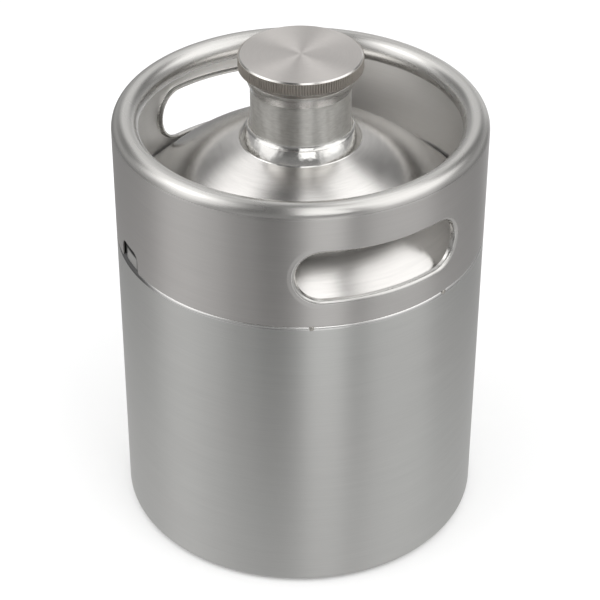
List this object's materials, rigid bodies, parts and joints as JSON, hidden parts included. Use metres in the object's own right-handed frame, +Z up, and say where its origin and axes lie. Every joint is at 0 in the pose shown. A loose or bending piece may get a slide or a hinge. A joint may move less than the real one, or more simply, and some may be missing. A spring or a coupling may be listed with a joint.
{
  "type": "mini drink keg",
  "caption": "Small stainless drink keg with a rolled handle collar, lipped hand slots, a domed shoulder, a narrow neck and a knurled screw cap.",
  "frame": {"origin": "centre of the base, at the height of the foot's flat flange", "axes": "+Z up along the keg's axis; the hand slots face -Y and +Y and the drain slots face -X and +X"},
  "size_m": [0.138, 0.138, 0.1908],
  "materials": {
    "body_steel": "satin, fine grain round the wall",
    "base_steel": "satin",
    "dome_steel": "turned grain, semi-bright",
    "collar_steel": "satin wall with a smoother rim",
    "weld_steel": "as welded",
    "neck_steel": "turned",
    "polished_steel": "polished",
    "silicone": "smooth",
    "cap_steel": "turned top and knurled edge"
  },
  "bodies": {
    "keg": {"vessel_shell": "body_steel", "base_pan": "base_steel", "shoulder_dome": "dome_steel", "handle_collar": "collar_steel", "tack_welds": "weld_steel", "neck_ring": "neck_steel", "neck_weld": "polished_steel"},
    "gasket": {"cap_gasket": "silicone"},
    "cap": {"screw_cap": "cap_steel"}
  },
  "joints": [
    {"name": "cap_lift", "type": "slide", "parent": "keg", "child": "gasket", "axis": [0, 0, 1], "range_m": [0, 0.01]},
    {"name": "cap_turn", "type": "hinge", "parent": "gasket", "child": "cap", "pos_m": [0, 0, 0.184], "axis": [0, 0, 1], "range_deg": [0, 1800]}
  ],
  "couplings": [
    {"joint": "cap_turn", "follows": "cap_lift", "rad_per_m": 3141.6}
  ]
}
